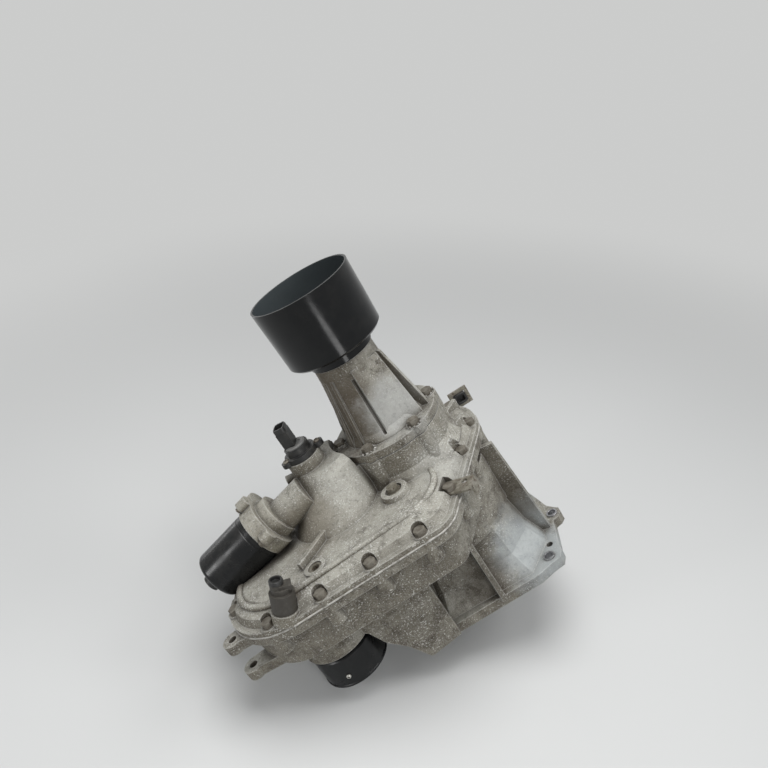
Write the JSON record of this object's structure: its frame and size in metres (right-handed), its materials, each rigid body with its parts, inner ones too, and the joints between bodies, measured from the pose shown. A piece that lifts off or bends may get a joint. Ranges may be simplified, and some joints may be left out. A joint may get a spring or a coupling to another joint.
{
  "type": "transfer case",
  "caption": "Four-wheel-drive transfer case with planetary low range, chain drive to an offset front output, multi-plate clutch and electric shift actuator.",
  "frame": {"origin": "on the main shaft's axis, in the face that bolts to the gearbox, at the centre of its four corner bolts", "axes": "+Z along the main shaft from the gearbox face to the rear output; -X towards the front output, which also lies at -Y"},
  "size_m": [0.432, 0.2835, 0.462],
  "materials": {
    "cast_alloy": "rough as-cast, stained",
    "bolt_steel": "plated, rusted",
    "machined_steel": "machined, oiled",
    "bearing_steel": "ground",
    "clutch_plate": "friction faced",
    "gasket": "matt",
    "seal_rubber": "satin",
    "black_coated_steel": "gloss black coating, dusty",
    "die_cast_alloy": "die cast",
    "motor_black": "matt black coating",
    "armature": "wound copper",
    "moulded_black": "moulded",
    "plated_steel": "zinc plated"
  },
  "bodies": {
    "case": {"front_case": "cast_alloy", "rear_cover": "cast_alloy", "case_gasket": "gasket", "cover_bolts": "bolt_steel", "extension_housing": "cast_alloy", "extension_gasket": "gasket", "extension_bolts": "bolt_steel", "flange_bushes": "machined_steel", "bearing_outer_rings": "bearing_steel", "input_seal": "seal_rubber", "rear_seal": "seal_rubber", "front_seal": "seal_rubber", "ring_gear": "machined_steel", "fork_rail": "machined_steel", "chain": "bearing_steel", "oil_pump_housing": "die_cast_alloy", "fill_plug": "plated_steel", "level_plug": "plated_steel", "speed_sensor": "moulded_black", "position_sensor": "moulded_black", "actuator_housing": "die_cast_alloy", "actuator_motor_can": "motor_black", "actuator_connector": "moulded_black", "wiring_bracket": "plated_steel"},
    "input_shaft": {"input_shaft": "machined_steel", "input_bearing_inner": "bearing_steel"},
    "planet_carrier": {"planet_carrier": "machined_steel"},
    "planet_1": {"planet_gear_1": "machined_steel"},
    "planet_2": {"planet_gear_2": "machined_steel"},
    "planet_3": {"planet_gear_3": "machined_steel"},
    "planet_4": {"planet_gear_4": "machined_steel"},
    "main_shaft": {"main_shaft": "machined_steel", "main_bearing_inners": "bearing_steel", "pump_rotor": "bearing_steel", "clutch_hub": "machined_steel", "clutch_inner_plates": "clutch_plate", "rear_flange": "black_coated_steel", "rear_cup": "black_coated_steel", "rear_dust_collar": "black_coated_steel", "rear_nut": "machined_steel"},
    "range_sleeve": {"range_sleeve": "machined_steel"},
    "range_fork": {"range_fork": "die_cast_alloy"},
    "control_shaft": {"control_shaft": "machined_steel"},
    "ramp_ring": {"ramp_ring": "machined_steel"},
    "pressure_plate": {"pressure_plate": "machined_steel"},
    "front_drive": {"drive_sprocket": "machined_steel", "clutch_drum": "machined_steel", "clutch_outer_plates": "clutch_plate"},
    "front_output": {"front_output_shaft": "machined_steel", "driven_sprocket": "machined_steel", "front_flange": "black_coated_steel", "front_can": "black_coated_steel", "front_nut": "machined_steel", "front_bearing_inners": "bearing_steel"},
    "motor_armature": {"motor_armature": "armature"}
  },
  "joints": [
    {"name": "input_spin", "type": "hinge", "parent": "case", "child": "input_shaft", "pos_m": [0, 0, 0.078], "axis": [0, 0, 1], "continuous": true},
    {"name": "carrier_spin", "type": "hinge", "parent": "case", "child": "planet_carrier", "pos_m": [0, 0, 0.11], "axis": [0, 0, 1], "continuous": true},
    {"name": "output_spin", "type": "hinge", "parent": "case", "child": "main_shaft", "pos_m": [0, 0, 0.25], "axis": [0, 0, 1], "continuous": true},
    {"name": "sleeve_slide", "type": "slide", "parent": "main_shaft", "child": "range_sleeve", "axis": [0, 0, 1], "range_m": [-0.009, 0.009]},
    {"name": "fork_slide", "type": "slide", "parent": "case", "child": "range_fork", "axis": [0, 0, 1], "range_m": [-0.009, 0.009]},
    {"name": "control_turn", "type": "hinge", "parent": "case", "child": "control_shaft", "pos_m": [-0.108, -0.016, 0.24], "axis": [0, 0, 1], "range_deg": [-45, 45]},
    {"name": "ramp_turn", "type": "hinge", "parent": "case", "child": "ramp_ring", "pos_m": [0, 0, 0.228], "axis": [0, 0, 1], "range_deg": [-9, 9]},
    {"name": "pressure_slide", "type": "slide", "parent": "front_drive", "child": "pressure_plate", "axis": [0, 0, 1], "range_m": [-0.0008, 0.0008]},
    {"name": "front_drive_spin", "type": "hinge", "parent": "case", "child": "front_drive", "pos_m": [0, 0, 0.176], "axis": [0, 0, 1], "continuous": true},
    {"name": "front_output_spin", "type": "hinge", "parent": "case", "child": "front_output", "pos_m": [-0.191, -0.085, 0.12], "axis": [0, 0, 1], "continuous": true},
    {"name": "armature_spin", "type": "hinge", "parent": "case", "child": "motor_armature", "pos_m": [-0.181, -0.043, 0.243], "axis": [-0.9659, 0, -0.2588], "range_deg": [-2699, 2699]},
    {"name": "planet_1_spin", "type": "hinge", "parent": "planet_carrier", "child": "planet_1", "pos_m": [0.055, 0, 0.11], "axis": [0, 0, 1], "continuous": true},
    {"name": "planet_2_spin", "type": "hinge", "parent": "planet_carrier", "child": "planet_2", "pos_m": [0, 0.055, 0.11], "axis": [0, 0, 1], "continuous": true},
    {"name": "planet_3_spin", "type": "hinge", "parent": "planet_carrier", "child": "planet_3", "pos_m": [-0.055, 0, 0.11], "axis": [0, 0, 1], "continuous": true},
    {"name": "planet_4_spin", "type": "hinge", "parent": "planet_carrier", "child": "planet_4", "pos_m": [0, -0.055, 0.11], "axis": [0, 0, 1], "continuous": true}
  ],
  "couplings": [
    {"joint": "carrier_spin", "follows": "input_spin", "ratio": 0.36364},
    {"joint": "control_turn", "follows": "armature_spin", "ratio": 0.016667},
    {"joint": "sleeve_slide", "follows": "armature_spin", "m_per_rad": 0.00019083},
    {"joint": "fork_slide", "follows": "armature_spin", "m_per_rad": 0.00019083},
    {"joint": "ramp_turn", "follows": "armature_spin", "ratio": 0.0031667},
    {"joint": "pressure_slide", "follows": "armature_spin", "m_per_rad": -0.000016667},
    {"joint": "front_drive_spin", "follows": "front_output_spin", "ratio": 1},
    {"joint": "planet_1_spin", "follows": "input_spin", "ratio": -1.697},
    {"joint": "planet_2_spin", "follows": "input_spin", "ratio": -1.697},
    {"joint": "planet_3_spin", "follows": "input_spin", "ratio": -1.697},
    {"joint": "planet_4_spin", "follows": "input_spin", "ratio": -1.697}
  ]
}
